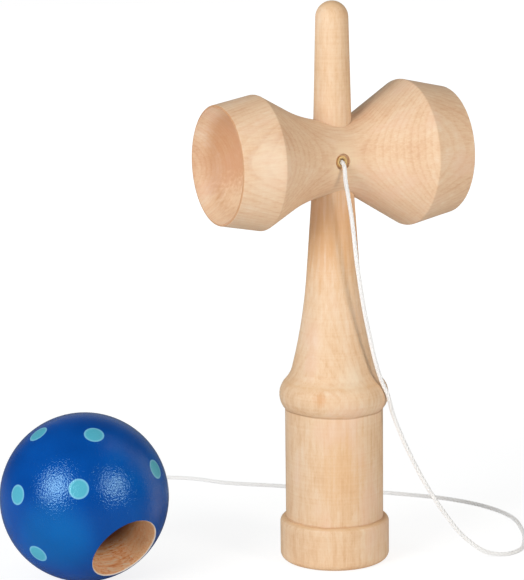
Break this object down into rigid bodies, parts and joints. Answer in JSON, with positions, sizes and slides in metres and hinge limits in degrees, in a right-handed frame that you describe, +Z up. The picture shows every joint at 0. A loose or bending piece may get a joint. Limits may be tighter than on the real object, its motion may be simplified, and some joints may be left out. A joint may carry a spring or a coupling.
{
  "type": "cup and ball toy",
  "caption": "Turned wooden handle with a spike and a base cup, a cross cup with a bowl at each end, and a bored lacquered ball on a string that is caught in a cup or on the spike.",
  "frame": {"origin": "centre of the ring that the handle's foot rests on, at the table's height, on the handle's axis", "axes": "+Z up along the handle's axis to the tip of the spike; +X along the cross cup's axis to the big cup; -Y to the side where the string leaves the cross cup through its eyelet"},
  "size_m": [0.1814, 0.1449, 0.18],
  "materials": {
    "handle_wood": "sanded pale beech, unvarnished",
    "cup_wood": "sanded pale beech, unvarnished",
    "eyelet_brass": "rolled brass",
    "string_cotton": "white braided cotton",
    "ball_lacquer": "blue lacquer with a fine orange peel over wood, with painted turquoise dots; the bore is bare wood",
    "bead_wood": "sanded wood"
  },
  "bodies": {
    "handle": {"handle": "handle_wood", "string_in_handle": "string_cotton", "handle_knot": "string_cotton"},
    "cross_cup": {"cross_cup": "cup_wood", "string_eyelet": "eyelet_brass", "string": "string_cotton"},
    "string_end": {"ball_bead": "bead_wood", "string_in_ball": "string_cotton", "ball_knot": "string_cotton"},
    "ball": {"ball": "ball_lacquer"}
  },
  "joints": [
    {"name": "cross_cup_lift", "type": "slide", "parent": "handle", "child": "cross_cup", "axis": [0, 0, 1], "range_m": [0, 0.065], "deforming": ["string_in_handle", "string"]},
    {"name": "ball_swing", "type": "hinge", "parent": "cross_cup", "child": "string_end", "pos_m": [-0.0027, -0.0112, 0.1308], "axis": [0, 1, 0], "range_deg": [0, 110], "deforming": ["string"]},
    {"name": "ball_spin", "type": "hinge", "parent": "string_end", "child": "ball", "pos_m": [-0.0799, 0.0177, 0.0266], "axis": [0.2001, -0.8335, -0.515], "continuous": true}
  ]
}
